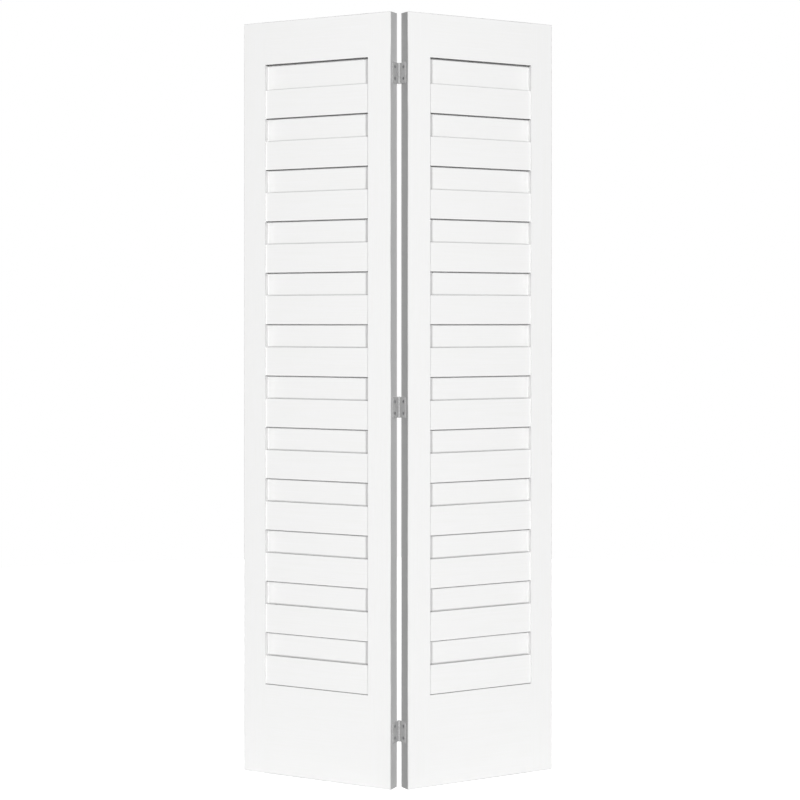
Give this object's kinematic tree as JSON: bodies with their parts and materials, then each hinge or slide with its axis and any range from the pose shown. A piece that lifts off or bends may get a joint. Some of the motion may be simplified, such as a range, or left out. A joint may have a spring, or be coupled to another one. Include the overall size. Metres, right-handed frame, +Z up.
{
  "type": "bifold closet door",
  "caption": "White bifold closet door: two stile-and-rail leaves filled with stepped, closed louvre slats, joined by butt hinges on the closet side and folded slightly open.",
  "frame": {"origin": "middle of the folded pair at floor level, on the bottom plane of the two leaves", "axes": "+Z up along the leaves; -Y towards the room, where the fold points; +X to the right seen from the room"},
  "size_m": [0.8286, 0.2474, 2.007],
  "materials": {
    "frame_paint": "white satin paint over primed wood",
    "slat_paint": "white satin paint over primed wood",
    "hinge_plate_steel": "satin zinc plate",
    "hinge_pin_steel": "satin zinc plate",
    "hinge_screw_steel": "zinc plate"
  },
  "bodies": {
    "pivot_leaf": {"left_hinge_stile": "frame_paint", "left_outer_stile": "frame_paint", "left_top_rail": "frame_paint", "left_bottom_rail": "frame_paint", "left_slat_01": "slat_paint", "left_slat_02": "slat_paint", "left_slat_03": "slat_paint", "left_slat_04": "slat_paint", "left_slat_05": "slat_paint", "left_slat_06": "slat_paint", "left_slat_07": "slat_paint", "left_slat_08": "slat_paint", "left_slat_09": "slat_paint", "left_slat_10": "slat_paint", "left_slat_11": "slat_paint", "left_slat_12": "slat_paint", "top_hinge_left_plate": "hinge_plate_steel", "middle_hinge_left_plate": "hinge_plate_steel", "bottom_hinge_left_plate": "hinge_plate_steel", "left_hinge_screws": "hinge_screw_steel", "top_hinge_pin": "hinge_pin_steel", "middle_hinge_pin": "hinge_pin_steel", "bottom_hinge_pin": "hinge_pin_steel"},
    "leading_leaf": {"right_hinge_stile": "frame_paint", "right_outer_stile": "frame_paint", "right_top_rail": "frame_paint", "right_bottom_rail": "frame_paint", "right_slat_01": "slat_paint", "right_slat_02": "slat_paint", "right_slat_03": "slat_paint", "right_slat_04": "slat_paint", "right_slat_05": "slat_paint", "right_slat_06": "slat_paint", "right_slat_07": "slat_paint", "right_slat_08": "slat_paint", "right_slat_09": "slat_paint", "right_slat_10": "slat_paint", "right_slat_11": "slat_paint", "right_slat_12": "slat_paint", "top_hinge_right_plate": "hinge_plate_steel", "middle_hinge_right_plate": "hinge_plate_steel", "bottom_hinge_right_plate": "hinge_plate_steel", "right_hinge_screws": "hinge_screw_steel"}
  },
  "joints": [
    {"name": "leaf_fold", "type": "hinge", "parent": "pivot_leaf", "child": "leading_leaf", "pos_m": [0, -0.09044, 1.0035], "axis": [0, 0, 1], "range_deg": [-58, 118]}
  ]
}
